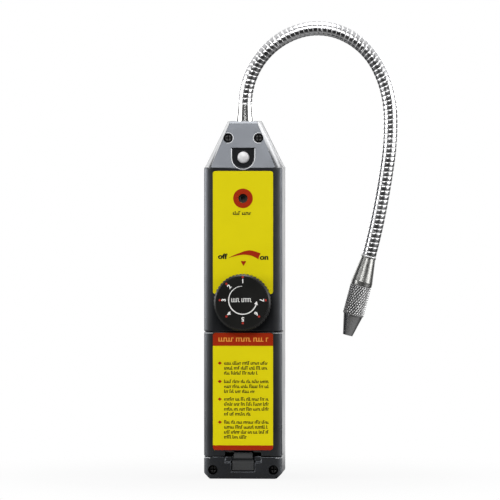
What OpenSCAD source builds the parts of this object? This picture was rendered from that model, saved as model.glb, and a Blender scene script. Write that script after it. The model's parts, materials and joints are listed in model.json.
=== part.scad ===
// Hand-held refrigerant leak detector with a gooseneck probe.
// Millimetres. +Z runs up the case from its flat foot and the front faces -Y.
// +X is to the right, seen from the front, and the origin is the centre of the foot.

/* [Case] */
// Width of the case
case_w = 39; // [37:0.5:44]
// Depth of the case, front to back
case_d = 36; // [34:0.5:42]
// Height of the shoulders, where the head starts to taper
shoulder_z = 155; // [152:0.5:165]
// Height of the tapered head
head_h = 23; // [21:0.5:27]
// Width of the head at its top
head_top_w = 16; // [14:0.5:19]
// How far the front of the head leans back at its top
head_rake = 5; // [3.5:0.1:6]
// Width of the chamfers beside the head's front and back
head_chamfer_w = 3; // [2:0.1:3.6]
// Depth of the chamfers beside the head's front and back
head_chamfer_d = 9; // [8:0.1:11]
// Chamfer along the top of its leaning front
head_edge = 1.2; // [0.8:0.1:1.6]
// Width of the curved long edges, seen from the front
edge_w = 4.5; // [3.5:0.1:5]
// Radius of the curved long edges
edge_r = 7; // [6:0.1:9]
// Chamfer at the lower corners
foot_chamfer = 2.8; // [1:0.1:3.5]
// Wall thickness of the mouldings
wall = 2.3; // [1.8:0.1:2.6]
// Gap around pieces that move or lift off
gap = 0.3; // [0.2:0.05:0.4]
// Clearance of pieces that seat in one another
fit = 0.05; // [0.03:0.01:0.1]

/* [Case screws] */
// Radius of the screw heads
screw_head_r = 2.2; // [1.8:0.1:2.3]
// Height of the screw heads
screw_head_h = 1.8; // [1.4:0.1:2.4]
// Radius of the screw shanks
screw_r = 1.3; // [1:0.1:1.5]
// Length of the screw shanks
screw_len = 20; // [18:0.5:22]
// Radius of the sunk screw wells
well_r = 2.4; // [2.35:0.05:2.7]
// Depth of the screw wells below the front plane
well_depth = 7; // [6:0.5:8]
// Sideways distance of the head screws from the middle
head_screw_x = 7.6; // [6.5:0.1:8.5]
// Distance of the head screws below the top
head_screw_down = 8.3; // [8:0.1:9.5]
// Distance of the foot screws from the sides and from the foot
foot_screw_in = 4.4; // [4:0.1:5]

/* [Battery bay] */
// Height of the end cap below the battery door
cap_h = 11; // [10:0.5:14]
// Height of the battery door
door_h = 62.5; // [60:0.5:66]
// How far the door's cheeks wrap round the sides
door_cheek = 11; // [8:0.5:13]
// Radius of a cell
cell_r = 7.25; // [7:0.05:7.5]
// Length of a cell with its button
cell_len = 50.5; // [49:0.1:51]
// Thickness of the bay's floor and end walls
bay_wall = 2; // [1.5:0.1:2.5]
// Thickness of the contact plates
contact_t = 0.5; // [0.3:0.05:0.8]
// Radius of the contact springs' wire
spring_wire_r = 0.4; // [0.25:0.05:0.5]
// Width of the thumb notch over the latch
notch_w = 18; // [15:0.5:20]
// Width of the latch's pad
latch_w = 11; // [9:0.5:13]

/* [Front panel] */
// Width of the labels
label_w = 30; // [26:0.5:30]
// Thickness of the labels
label_t = 0.35; // [0.2:0.05:0.5]
// Radius of the labels' corners
label_r = 1.4; // [0.8:0.1:2.5]
// Radius of the indicator lamp
lamp_r = 2.95; // [2.4:0.05:3.2]
// Height of the lamp above the shoulders
lamp_up = 5; // [4.5:0.1:5.5]
// Radius of the pocket round the lamp
pocket_r = 5.6; // [4.8:0.1:6]
// Distance of the sounder below the top of the label
sounder_down = 13.6; // [12:0.1:16]
// Radius of the sound hole
sound_hole_r = 2.3; // [1.5:0.1:3]

/* [Sensitivity knob] */
// Radius of the knob
knob_r = 14.2; // [13:0.1:14.6]
// Height of the knob
knob_h = 7.5; // [6:0.1:10]
// Number of grip flutes round the knob
knob_flutes = 48; // [36:1:60]
// Radius of the printed dial
dial_r = 12.8; // [11:0.1:13]
// Radius of the control's shaft
shaft_r = 3; // [2:0.1:3.2]

/* [Gooseneck] */
// Outer radius of the gooseneck's turns
neck_r = 3.6; // [3.4:0.05:3.9]
// Radius at the bottom of its grooves
groove_r = 3.05; // [2.9:0.05:3.15]
// Radius of its bore
bore_r = 2.1; // [1.6:0.05:2.2]
// Length of one link along its curve
link_len = 24; // [22:0.5:26]
// Turns in one link
link_turns = 10; // [8:1:12]
// Radius of the ball on which the next link turns
ball_r = 4; // [3.9:0.05:4.15]
// Height of the ferrule on the head
ferrule_h = 8.3; // [7:0.1:10]
// Radius of the ferrule at its foot
ferrule_r = 4.5; // [4.2:0.1:5]

/* [Probe nose] */
// Length of the cone behind the grip
cone_len = 15.4; // [14:0.2:18]
// Largest radius of the cone
cone_r = 5.35; // [5.2:0.05:5.8]
// Length of the knurled grip
grip_len = 15.4; // [13:0.2:18]
// Radius of the knurled grip
grip_r = 5.3; // [5.2:0.05:5.8]
// Length of the open tip
tip_len = 10.4; // [9:0.2:13]
// Radius of the tip's end
tip_r = 2.45; // [2.3:0.05:3]
// Radius of the air inlet
inlet_r = 1.6; // [1.2:0.05:1.8]

/* [Hidden] */
$fn = 48;

// Larger than any part of the object, for cuts that run right through
far = 400;
// Small overlap that makes a cut or a joint clean
over = 1;

// Planes of the case
front_y = -case_d / 2;
back_y = case_d / 2;
top_z = shoulder_z + head_h;
head_lean = atan2((case_w - head_top_w) / 2, head_h);

// Battery bay, whose floor sets the plane in which the two shells part
door_z0 = cap_h;
door_z1 = cap_h + door_h;
door_back_y = front_y + door_cheek;
bay_z0 = door_z0 + bay_wall;
bay_z1 = door_z1 - 0.5;
cell_front_gap = 1.6;
cell_y = front_y + wall + cell_front_gap + cell_r;
cell_x = cell_r + 0.35;
bay_floor_y = cell_y + cell_r + gap;
split_y = bay_floor_y + bay_wall;
button_r = 2.75;
button_h = 1.2;
contact_w = 10;
spring_h = bay_z1 - bay_z0 - 2 * contact_t - cell_len - 2 * fit;
spring_base_r = 3.6;
spring_tip_r = 2.4;
spring_turns = 4;
spring_steps = 48;
wire_sides = 6;

// Screws: places in X and Z, and the plane on which their heads seat
foot_screw_x = case_w / 2 - foot_screw_in;
screw_places = [
    [-head_screw_x, top_z - head_screw_down], [head_screw_x, top_z - head_screw_down],
    [-foot_screw_x, foot_screw_in], [foot_screw_x, foot_screw_in]
];
screw_seat_y = front_y + well_depth;
screw_clear = 0.15;
screw_slot_w = 0.6;
screw_slot_len = screw_head_r * 1.3;
screw_slot_deep = screw_head_h - 0.8;
boss_r = screw_r + 1.5;
well_boss_r = well_r + 1.2;
well_floor = 1.5;

// Door latch: a thumb catch over a pad that slopes up to the light
latch_t = 3.6;
catch_w = latch_w - 1.4;
notch_z0 = cap_h - 2.8;
notch_z1 = cap_h + 3;
notch_depth = 2;
pad_z0 = 4;
pad_z1 = cap_h - 2.4;
catch_z0 = cap_h - 0.8;
catch_z1 = cap_h + 1.8;
root_z1 = notch_z1 + 3;
catch_out = 1.2;
catch_drop = 0.6;
pad_proud = wall - 0.2;
pad_slope = 1.6;
pad_lip = 0.8;
cap_front_t = 7;

// Door hooks behind the top edge
hook_w = 3;
hook_x = case_w / 2 - wall - 2.4 - hook_w;
hook_t = 1.5;
hook_up = 2.2;
hook_down = 5;
hook_swing = 6;

// Front panel
label_sink = 0.25;
label_z1 = shoulder_z - 1.7;
knob_z = door_z1 + gap + knob_r;
label_z0 = knob_z + 4;
door_label_z0 = notch_z1 + 0.3;
door_label_z1 = door_z1 - 0.8;
lamp_z = shoulder_z + lamp_up;
pocket_up = 4.5;
pocket_floor_y = front_y + 3.4;
pocket_wall = 1.4;
lamp_y = pocket_floor_y - 0.6;
lamp_dome_h = 1.5;
lamp_steps = 8;
lamp_len = 4;
lamp_leg_x = 1.27;
lamp_leg_r = 0.3;
sounder_z = label_z1 - sounder_down;
sounder_r = 6;
sounder_throat = 3;

// Circuit board and what stands on it
board_t = 1.6;
board_in = 7.4;
board_y = front_y + wall + board_in;
board_back_y = board_y + board_t;
board_side = 2.5;
board_w = case_w - 2 * (wall + board_side);
board_up = 2;
board_z0 = bay_z1 + bay_wall + board_up;
board_over = 4;
board_z1 = lamp_z + board_over;
board_top_w = board_w * 2 / 3;
board_corner_down = 5;
board_corner_z = shoulder_z - board_corner_down;
post_r = 2.2;
post_in = 2.6;
post_up = 2.8;
post_down = 5;
post_x = board_w / 2 - post_in;
post_heights = [board_z0 + post_up, board_corner_z - post_down];
post_places = [for (x = [-post_x, post_x], z = post_heights) [x, z]];
board_screw_r = 0.95;
board_screw_len = 5.5;
board_screw_head_r = 1.9;
board_screw_head_h = 1.3;

// Transformer: a ferrite frame with a middle limb, and the coil that stands it off the board
coil_down = 16;
coil_z = sounder_z - coil_down;
core_w = 18;
core_h = 15;
core_t = 5;
limb = 4.4;
turns_t = 2.6;
coil_foot = 1.2;
coil_gap = 0.4;
coil_clear = 0.8;
core_y = board_back_y + core_t / 2 + turns_t + coil_clear;

// Capacitors and logic chips
can_r = 3.15;
can_h = 11;
can_x = 8;
can_down = 16;
can_z = coil_z - can_down;
crimp_up = 1.8;
crimp_r = 0.6;
crimp_out = 0.3;
chip_w = 6.4;
chip_t = 3.3;
chip_stand = 0.6;
chip_gap = 0.3;
chip_up = 2;
chip_z = sounder_z + chip_up;
chip_rows = [7, 4];
pin_pitch = 2.54;
pin_w = 0.8;
pin_t = 1;
chip_x = post_x - board_screw_head_r - chip_w / 2 - pin_t / 2 - chip_gap;

// Knob and control
knob_y = front_y - label_t + label_sink - gap;
knob_chamfer = 0.9;
dial_t = 0.35;
hub_r = shaft_r + 2.4;
knob_skin = 2.2;
flute_r = 0.6;
flute_out = 0.25;
shaft_flat = shaft_r / 2;
shaft_engage = knob_h - knob_skin - fit;
control_r = 8;
control_neck_r = 6;
control_neck_len = 1.2;
control_front_y = front_y + wall + 0.4;
shaft_in = 4;

// Gooseneck: how far each link turns, in degrees, from the ferrule to the nose
neck_bends = [36, 36, 43, 38, 25, 10, 3, 4];
link_count = len(neck_bends);
neck_y = split_y;
neck_z0 = top_z + ferrule_h + 0.2;
turn_pitch = link_len / link_turns;
turn_lap = 0.15;
ball_back = 1.85;
ball_rim_r = 3;
ball_gap = 0.15;
spigot_r = 2.8;
spigot_len = 4;
flange_r = 5;
flange_t = 2.4;
ferrule_neck_r = 3.5;

// Probe nose, measured along its axis from the end of the gooseneck
collar_r = 3.8;
collar_len = 1.3;
nose_z0 = 0.2;
cone_end = nose_z0 + cone_len;
cone_band = 2;
thread_r = 4.2;
thread_len = 5;
grip_z0 = cone_end + 0.1;
grip_z1 = grip_z0 + grip_len;
grip_chamfer = 0.4;
tip_z1 = grip_z1 + tip_len;
tip_root_r = 4.9;
tip_lip = 1.8;
chamber_r = 3.9;
chamber_end = grip_z1 + 1.5;
insulator_r = 2.9;
insulator_z0 = cone_end + 2.4;
insulator_len = 5;
electrode_r = 0.6;
electrode_back = 1.5;
electrode_tip = 18;

// Moulding colours, as seen
shell_colour = [0.13, 0.13, 0.13];
label_colour = [0.84, 0.78, 0.03];
steel_colour = [0.75, 0.75, 0.76];

// Round bar along Y
module rod_y(r, y0, y1) {
    translate([0, y0, 0]) rotate([-90, 0, 0]) cylinder(r = r, h = y1 - y0);
}

// Outline in X and Z, extruded along Y
module slab_y(y0, y1) {
    translate([0, y1, 0]) rotate([90, 0, 0]) linear_extrude(y1 - y0) children();
}

// Outline in Y and Z, extruded along X
module slab_x(x0, x1) {
    translate([x0, 0, 0]) rotate([90, 0, 90]) linear_extrude(x1 - x0) children();
}

// Box between two corners
module block(low, high) {
    translate(low) cube(high - low);
}

// Rectangle with round corners, centred
module rounded_rect(w, d, r) {
    square([w - 2 * r, d], center = true);
    square([w, d - 2 * r], center = true);
    for (x = [-1, 1], y = [-1, 1]) translate([x * (w / 2 - r), y * (d / 2 - r)]) circle(r);
}

// Children at each of a list of places in X and Z
module at_places(places) {
    for (p = places) translate([p[0], 0, p[1]]) children();
}

// Front outline of the case
module case_outline() {
    side = case_w / 2;
    polygon([
        [foot_chamfer - side, 0], [side - foot_chamfer, 0], [side, foot_chamfer], [side, shoulder_z],
        [head_top_w / 2, top_z], [-head_top_w / 2, top_z], [-side, shoulder_z], [-side, foot_chamfer]
    ]);
}

// Section of the case: flat front, back and sides, with long edges that curve round to the sides
module case_section(inset) {
    intersection() {
        square([case_w - 2 * inset, case_d - 2 * inset], center = true);
        rounded_rect(case_w + 2 * (edge_r - edge_w - inset), case_d - 2 * inset, edge_r - inset);
    }
}

// Everything inside the right-hand chamfers of the head, which start at the shoulder
module head_side(inset) {
    slope = head_chamfer_d / head_chamfer_w;
    reach = 6;
    out = 2;
    block([-far, -far, -far], [far, far, shoulder_z - inset]);
    translate([case_w / 2, 0, shoulder_z]) rotate([0, -head_lean, 0]) translate([0, 0, -far])
        linear_extrude(2 * far) offset(delta = -inset) polygon([
            [out, front_y + head_chamfer_d + out * slope],
            [-head_chamfer_w - reach / slope, front_y - reach], [-far, front_y - reach],
            [-far, back_y + reach], [-head_chamfer_w - reach / slope, back_y + reach],
            [out, back_y - head_chamfer_d - out * slope]
        ]);
}

// Everything behind the leaning front of the head
module head_front(inset) {
    below = 10;
    edge_y = front_y + head_rake * (head_h - head_edge) / head_h;
    edge_z = top_z - head_edge;
    slab_x(-far, far) offset(delta = -inset) polygon([
        [front_y - below * head_rake, shoulder_z - below * head_h], [far, shoulder_z - below * head_h - far],
        [far, far], [edge_y + far - edge_z, far], [edge_y, edge_z]
    ]);
}

// The whole case as a solid, or the same solid with its faces moved inwards
module case_block(inset = 0) {
    intersection() {
        slab_y(front_y - over, back_y + over) offset(delta = -inset) case_outline();
        translate([0, 0, -over]) linear_extrude(top_z + 2 * over) case_section(inset);
        union() head_side(inset);
        mirror([1, 0, 0]) union() head_side(inset);
        head_front(inset);
    }
}

// The room inside the walls between two heights and in front of a plane
module case_room(z0, z1, y0, y1) {
    intersection() {
        case_block(wall);
        block([-far, y0, z0], [far, y1, z1]);
    }
}

// Flat-topped round pocket, seen from the front
module pocket_outline(grow = 0) {
    r = pocket_r + grow;
    intersection() {
        circle(r);
        translate([-far, -far]) square([2 * far, far]);
    }
    translate([-r, 0]) square([2 * r, pocket_up + grow]);
}

module label_outline(z0, z1, grow = 0) {
    translate([0, (z0 + z1) / 2]) rounded_rect(label_w + 2 * grow, z1 - z0 + 2 * grow, label_r);
}

module front_shell() {
    color(shell_colour) difference() {
        union() {
            difference() {
                intersection() {
                    case_block();
                    block([-far, -far, -far], [far, split_y, far]);
                }
                case_room(bay_z1 + bay_wall, far, -far, far);
                case_room(bay_z0, bay_z1, -far, bay_floor_y);
                case_room(-far, cap_h, front_y + cap_front_t, far);
                door_room(0);
            }
            intersection() {
                case_block(wall / 2);
                union() {
                    at_places(screw_places) {
                        rod_y(well_boss_r, front_y, screw_seat_y + well_floor);
                        rod_y(boss_r, front_y, split_y);
                    }
                    at_places(post_places) rod_y(post_r, front_y, board_y);
                    translate([0, 0, lamp_z]) slab_y(front_y, pocket_floor_y + pocket_wall)
                        pocket_outline(pocket_wall);
                }
            }
        }
        at_places(screw_places) {
            rod_y(well_r, -far, screw_seat_y);
            rod_y(screw_r + screw_clear, -far, far);
        }
        at_places(post_places) rod_y(board_screw_r + fit, front_y + wall, board_y + over);
        translate([0, 0, lamp_z]) {
            slab_y(-far, pocket_floor_y) pocket_outline();
            rod_y(lamp_r + fit, -far, split_y);
        }
        translate([0, 0, sounder_z]) rod_y(sound_hole_r, -far, front_y + wall + over);
        translate([0, 0, knob_z]) rod_y(shaft_r + gap, -far, front_y + wall + over);
        slab_y(-far, front_y + label_sink) label_outline(label_z0, label_z1, fit);
        translate([0, neck_y, top_z - wall - over]) cylinder(r = ferrule_neck_r + fit, h = far);
        hook_slots();
        latch_pocket();
    }
}

// Slots in the bay's upper end wall, where the door's hooks go in and swing
module hook_slots() {
    for (side = [-1, 1]) translate([side * (hook_x + hook_w / 2), 0, 0])
        block([-hook_w / 2 - gap, front_y + wall, bay_z1 - over],
              [hook_w / 2 + gap, front_y + wall + hook_swing, bay_z1 + bay_wall + over]);
}

// Pocket for the latch and its thumb notch, in the end cap
module latch_pocket() {
    block([-latch_w / 2 - gap, -far, pad_z0 - gap],
          [latch_w / 2 + gap, front_y + latch_t + gap, cap_h + over]);
    block([-notch_w / 2, -far, notch_z0], [notch_w / 2, front_y + notch_depth, cap_h + over]);
}

module rear_shell() {
    color(shell_colour) difference() {
        union() {
            difference() {
                intersection() {
                    case_block();
                    block([-far, split_y, -far], [far, far, far]);
                }
                case_block(wall);
            }
            intersection() {
                case_block(wall / 2);
                at_places(screw_places) rod_y(boss_r, split_y, back_y);
            }
        }
        at_places(screw_places) rod_y(screw_r + fit, -far, screw_seat_y + screw_len + over);
        translate([0, neck_y, top_z - wall - over]) cylinder(r = ferrule_neck_r + fit, h = far);
    }
}

// The door's room in the front of the case, ending below in an arc round the hinge that lets the cheeks swing
module door_room(clear) {
    intersection() {
        block([-far, -far, 0], [far, door_back_y - clear, door_z1 - clear]);
        translate([-far, front_y, door_z1]) rotate([0, 90, 0]) rotate([0, 0, 90])
            cylinder(r = door_h - clear, h = 2 * far);
    }
}

module battery_door() {
    color(shell_colour) union() {
        difference() {
            intersection() {
                case_block();
                door_room(gap);
            }
            case_block(wall);
            block([-notch_w / 2, -far, 0], [notch_w / 2, front_y + wall + over, notch_z1]);
            slab_y(-far, front_y + label_sink) label_outline(door_label_z0, door_label_z1, fit);
        }
        door_hooks();
        door_latch();
    }
}

// Two hooks that hold the door's top edge behind the front panel
module door_hooks() {
    y0 = front_y + wall;
    for (side = [-1, 1]) translate([side * (hook_x + hook_w / 2), 0, 0]) {
        block([-hook_w / 2, y0 - over, door_z1 - hook_down],
              [hook_w / 2, y0 + gap + hook_t, door_z1 - gap - fit]);
        block([-hook_w / 2, y0 + gap, door_z1 - hook_down],
              [hook_w / 2, y0 + gap + hook_t, door_z1 + hook_up]);
    }
}

// Sprung latch below the door: a thumb catch, and a pad that fills the pocket of the end cap
module door_latch() {
    back = front_y + latch_t;
    face = front_y + wall;
    slab_x(-catch_w / 2, catch_w / 2) polygon([
        [face - over, root_z1], [back, root_z1], [back, pad_z1], [face, pad_z1 + catch_drop],
        [face - catch_out, catch_z0], [face, catch_z1], [face, notch_z1], [face - over, notch_z1 + over / 2]
    ]);
    slab_x(-latch_w / 2, latch_w / 2) polygon([
        [back, pad_z1 + pad_lip], [back, pad_z0], [face - pad_proud, pad_z0], [face - pad_slope, pad_z1],
        [face, pad_z1 + pad_lip]
    ]);
}

module control_label() {
    color(label_colour) difference() {
        slab_y(front_y + label_sink - label_t, front_y + label_sink) label_outline(label_z0, label_z1);
        translate([0, 0, sounder_z]) rod_y(sound_hole_r, -far, far);
    }
}

module instruction_label() {
    color(label_colour) slab_y(front_y + label_sink - label_t, front_y + label_sink)
        label_outline(door_label_z0, door_label_z1);
}

module case_screws() {
    color(steel_colour) at_places(screw_places) difference() {
        union() {
            rod_y(screw_head_r, screw_seat_y - screw_head_h, screw_seat_y);
            rod_y(screw_r, screw_seat_y - over, screw_seat_y + screw_len);
        }
        for (turn = [0, 90]) rotate([0, turn, 0])
            block([-screw_slot_len / 2, -far, -screw_slot_w / 2],
                  [screw_slot_len / 2, screw_seat_y - screw_head_h + screw_slot_deep, screw_slot_w / 2]);
    }
}

// Frame of the knob: its axis is local Z, towards the front
module on_knob() {
    translate([0, knob_y, knob_z]) rotate([90, 0, 0]) children();
}

// Section of the control's shaft, with the flat that drives the knob
module shaft_section(grow = 0) {
    intersection() {
        circle(shaft_r + grow);
        translate([-far / 2, -far + shaft_flat + grow]) square([far, far]);
    }
}

module sensitivity_knob() {
    color([0.1, 0.1, 0.09]) on_knob() difference() {
        intersection() {
            translate([0, 0, -over]) linear_extrude(knob_h + 2 * over) difference() {
                circle(knob_r);
                for (i = [0 : knob_flutes - 1]) rotate(i * 360 / knob_flutes)
                    translate([knob_r + flute_out, 0]) circle(flute_r);
            }
            rotate_extrude() polygon([
                [0, 0], [knob_r + over, 0], [knob_r + over, knob_h - knob_chamfer - over],
                [knob_r - knob_chamfer, knob_h], [0, knob_h]
            ]);
        }
        translate([0, 0, knob_h - dial_t]) cylinder(r = dial_r + fit, h = over);
        translate([0, 0, -over]) linear_extrude(knob_h - knob_skin + over) difference() {
            circle(knob_r - knob_skin);
            circle(hub_r);
        }
        translate([0, 0, -over]) linear_extrude(knob_h - knob_skin + over) shaft_section(fit);
    }
}

module dial_disc() {
    color([0.1, 0.1, 0.09]) on_knob() translate([0, 0, knob_h - dial_t]) cylinder(r = dial_r, h = dial_t);
}

module control_shaft() {
    color(steel_colour) on_knob() {
        linear_extrude(shaft_engage) shaft_section();
        mirror([0, 0, 1]) cylinder(r = shaft_r, h = control_front_y + shaft_in - knob_y);
    }
}

module control_body() {
    color([0.5, 0.45, 0.3]) translate([0, 0, knob_z]) difference() {
        union() {
            rod_y(control_r, control_front_y + control_neck_len, board_y);
            rod_y(control_neck_r, control_front_y, board_y);
        }
        rod_y(shaft_r + fit, -far, control_front_y + shaft_in + gap);
    }
}

module indicator_lamp() {
    base = board_y - lamp_y;
    dome = [
        for (i = [0 : lamp_steps]) let (a = 90 * i / lamp_steps) [lamp_r * cos(a), lamp_dome_h * sin(a)]
    ];
    color([0.8, 0.8, 0.8]) translate([0, lamp_y, lamp_z]) rotate([90, 0, 0]) {
        rotate_extrude() polygon(concat([[0, -lamp_len], [lamp_r, -lamp_len]], dome));
        for (side = [-1, 1]) translate([side * lamp_leg_x, 0, -base])
            cylinder(r = lamp_leg_r, h = base - lamp_len + over);
    }
}

module sounder() {
    color([0.08, 0.08, 0.08]) translate([0, 0, sounder_z]) difference() {
        rod_y(sounder_r, front_y + wall + fit, board_y);
        rod_y(sound_hole_r / 2, -far, front_y + wall + sounder_throat);
    }
}

module circuit_board() {
    color([0.1, 0.35, 0.2]) difference() {
        slab_y(board_y, board_back_y) polygon([
            [-board_w / 2, board_z0], [board_w / 2, board_z0], [board_w / 2, board_corner_z],
            [board_top_w / 2, board_z1], [-board_top_w / 2, board_z1], [-board_w / 2, board_corner_z]
        ]);
        at_places(post_places) rod_y(board_screw_r + screw_clear, -far, far);
    }
}

module board_screws() {
    color(steel_colour) at_places(post_places) {
        rod_y(board_screw_head_r, board_back_y, board_back_y + board_screw_head_h);
        rod_y(board_screw_r, board_back_y - board_screw_len, board_back_y + over);
    }
}

module transformer_core() {
    window_w = (core_w - 2 * limb) / 2 - limb / 4;
    color([0.2, 0.2, 0.22]) translate([0, 0, coil_z])
        slab_y(core_y - core_t / 2, core_y + core_t / 2) difference() {
            square([core_w, core_h], center = true);
            for (side = [-1, 1]) translate([side * (limb / 2 + window_w / 2), 0])
                square([window_w, core_h - limb], center = true);
        }
}

module transformer_coil() {
    w = limb + 2 * turns_t;
    t = core_t + 2 * turns_t;
    h = core_h - limb - coil_gap;
    color([0.75, 0.6, 0.2]) translate([0, core_y, coil_z]) difference() {
        union() {
            block([-w / 2, -t / 2, -h / 2], [w / 2, t / 2, h / 2]);
            block([-w / 2, board_back_y - core_y, -h / 2], [w / 2, 0, coil_foot - h / 2]);
            block([-w / 2, board_back_y - core_y, h / 2 - coil_foot], [w / 2, 0, h / 2]);
        }
        block([-limb / 2 - fit, -core_t / 2 - fit, -far], [limb / 2 + fit, core_t / 2 + fit, far]);
    }
}

// Cans with a crimped groove near the foot
module capacitors() {
    color([0.15, 0.2, 0.45]) for (x = [-can_x, can_x]) translate([x, 0, can_z]) difference() {
        rod_y(can_r, board_back_y, board_back_y + can_h);
        translate([0, board_back_y + crimp_up, 0]) rotate([-90, 0, 0]) rotate_extrude()
            translate([can_r + crimp_out, 0]) circle(crimp_r);
    }
}

// One chip with two rows of pins
module logic_chip(rows) {
    length = rows * pin_pitch;
    block([-chip_w / 2, chip_stand, -length / 2], [chip_w / 2, chip_stand + chip_t, length / 2]);
    for (i = [0 : rows - 1], side = [-1, 1])
        translate([side * chip_w / 2, 0, (i - (rows - 1) / 2) * pin_pitch])
            block([-pin_t / 2, 0, -pin_w / 2], [pin_t / 2, chip_stand + chip_t / 2, pin_w / 2]);
}

module logic_chips() {
    color([0.1, 0.1, 0.1]) for (i = [0, 1])
        translate([(2 * i - 1) * chip_x, board_back_y, chip_z]) logic_chip(chip_rows[i]);
}

// One round cell standing on its flat end
module cell() {
    body_h = cell_len - button_h;
    rim = 0.5;
    color([0.85, 0.5, 0.15]) rotate_extrude() polygon([
        [0, 0], [cell_r - rim, 0], [cell_r, rim], [cell_r, body_h - rim], [cell_r - rim, body_h],
        [button_r, body_h], [button_r, cell_len], [0, cell_len]
    ]);
}

module cell_left() {
    translate([-cell_x, cell_y, bay_z1 - contact_t - fit - cell_len]) cell();
}

module cell_right() {
    translate([cell_x, cell_y, bay_z0 + contact_t + fit + cell_len]) mirror([0, 0, 1]) cell();
}

module contact_plate(x0, x1, z0) {
    color(steel_colour) block([x0 - contact_w / 2, cell_y - contact_w / 2, z0],
                              [x1 + contact_w / 2, cell_y + contact_w / 2, z0 + contact_t]);
}

module positive_contact() {
    contact_plate(-cell_x, -cell_x, bay_z1 - contact_t);
}

module negative_contact() {
    contact_plate(cell_x, cell_x, bay_z1 - contact_t);
}

module series_contact() {
    contact_plate(-cell_x, cell_x, bay_z0);
}

// Conical wire spring standing on its wide end
function spring_point(i, k) =
    let (t = i / spring_steps, turn = 360 * spring_turns * t, side = 360 * k / wire_sides)
    let (r = spring_base_r + (spring_tip_r - spring_base_r) * t + spring_wire_r * cos(side))
    let (z = spring_wire_r + (spring_h - 2 * spring_wire_r) * t + spring_wire_r * sin(side))
    [r * cos(turn), r * sin(turn), z];

module contact_spring() {
    points = [for (i = [0 : spring_steps], k = [0 : wire_sides - 1]) spring_point(i, k)];
    sides = [
        for (i = [0 : spring_steps - 1], k = [0 : wire_sides - 1])
            let (a = i * wire_sides + k, b = i * wire_sides + (k + 1) % wire_sides)
            each [[a, b, a + wire_sides], [b, b + wire_sides, a + wire_sides]]
    ];
    first = [for (k = [wire_sides - 1 : -1 : 0]) k];
    last = [for (k = [0 : wire_sides - 1]) spring_steps * wire_sides + k];
    color(steel_colour) polyhedron(points, concat([first, last], sides));
}

module spring_left() {
    translate([-cell_x, cell_y, bay_z0 + contact_t + fit]) contact_spring();
}

module spring_right() {
    translate([cell_x, cell_y, bay_z1 - contact_t - fit]) mirror([0, 0, 1]) contact_spring();
}

module neck_ferrule() {
    under = -wall - fit;
    color(steel_colour) translate([0, neck_y, top_z]) rotate_extrude() polygon([
        [ferrule_r, 0], [neck_r, ferrule_h], [spigot_r + fit, ferrule_h],
        [spigot_r + fit, ferrule_h - spigot_len], [bore_r, ferrule_h - spigot_len],
        [bore_r, under - flange_t], [flange_r, under - flange_t], [flange_r, under],
        [ferrule_neck_r, under], [ferrule_neck_r, 0]
    ]);
}

// Centre line of the gooseneck, in the plane in which the shells part: each link is one arc to the right
function link_heading(k) = k == 0 ? 90 : link_heading(k - 1) - neck_bends[k - 1];
function link_radius(k) = link_len * 180 / (PI * neck_bends[k]);
function link_point(k, turn) =
    let (chord = 2 * link_radius(k) * sin(turn / 2), aim = link_heading(k) - turn / 2)
    link_start(k) + chord * [cos(aim), sin(aim)];
function link_start(k) = k == 0 ? [0, neck_z0] : link_point(k - 1, neck_bends[k - 1]);

// Children at a distance along a link, with local Z along the gooseneck
module on_link(k, along) {
    turn = neck_bends[k] * along / link_len;
    p = link_point(k, turn);
    translate([p[0], neck_y, p[1]]) rotate([0, 90 - link_heading(k) + turn, 0]) children();
}

// One turn of the gooseneck: a disc with a round crest
module neck_turn() {
    half = turn_pitch / 2;
    depth = neck_r - groove_r;
    crest_r = (pow(half, 2) + pow(depth, 2)) / (2 * depth);
    rotate_extrude() intersection() {
        translate([0, -half - turn_lap]) square([neck_r + over, 2 * (half + turn_lap)]);
        union() {
            translate([0, -half - turn_lap - over]) square([neck_r - crest_r, 2 * (half + turn_lap + over)]);
            translate([neck_r - crest_r, 0]) circle(crest_r);
        }
    }
}

// Ball at the far end of a link
module link_ball(k) {
    on_link(k, link_len - ball_back) rotate_extrude() intersection() {
        circle(ball_r);
        translate([0, -over]) square([ball_rim_r, ball_r + 2 * over]);
    }
}

// Bore along a link, run on past both ends
module link_bore(k) {
    r = link_radius(k);
    past = (spigot_len + over) / r * 180 / PI;
    aim = link_heading(k) - 90;
    centre = link_start(k) + r * [cos(aim), sin(aim)];
    translate([centre[0], neck_y, centre[1]]) rotate([90, 0, 0])
        rotate_extrude(angle = neck_bends[k] + 2 * past, start = aim + 180 - neck_bends[k] - past)
            translate([r, 0]) circle(bore_r);
}

module neck_link(k) {
    last = link_count - 1;
    color(steel_colour) difference() {
        union() {
            for (i = [0 : link_turns - 1]) on_link(k, (i + 0.5) * turn_pitch) neck_turn();
            if (k == 0) on_link(k, 0) translate([0, 0, fit - spigot_len])
                cylinder(r = spigot_r, h = spigot_len + over);
            if (k < last) link_ball(k);
            if (k == last) on_link(k, link_len) translate([0, 0, -over])
                cylinder(r = spigot_r, h = spigot_len + over - fit);
        }
        if (k > 0) on_link(k - 1, link_len - ball_back) sphere(ball_r + ball_gap);
        link_bore(k);
    }
}

// Children on the axis of the nose, with local Z towards the tip
module on_nose() {
    on_link(link_count - 1, link_len) children();
}

module nose_adapter() {
    socket = nose_z0 + spigot_len;
    color(steel_colour) on_nose() rotate_extrude() polygon([
        [spigot_r + fit, nose_z0], [collar_r, nose_z0], [collar_r, nose_z0 + collar_len],
        [neck_r, nose_z0 + collar_len], [cone_r, cone_end - cone_band], [cone_r, cone_end],
        [thread_r, cone_end], [thread_r, cone_end + thread_len], [insulator_r + fit, cone_end + thread_len],
        [insulator_r + fit, insulator_z0], [bore_r, insulator_z0], [bore_r, socket], [spigot_r + fit, socket]
    ]);
}

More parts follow.
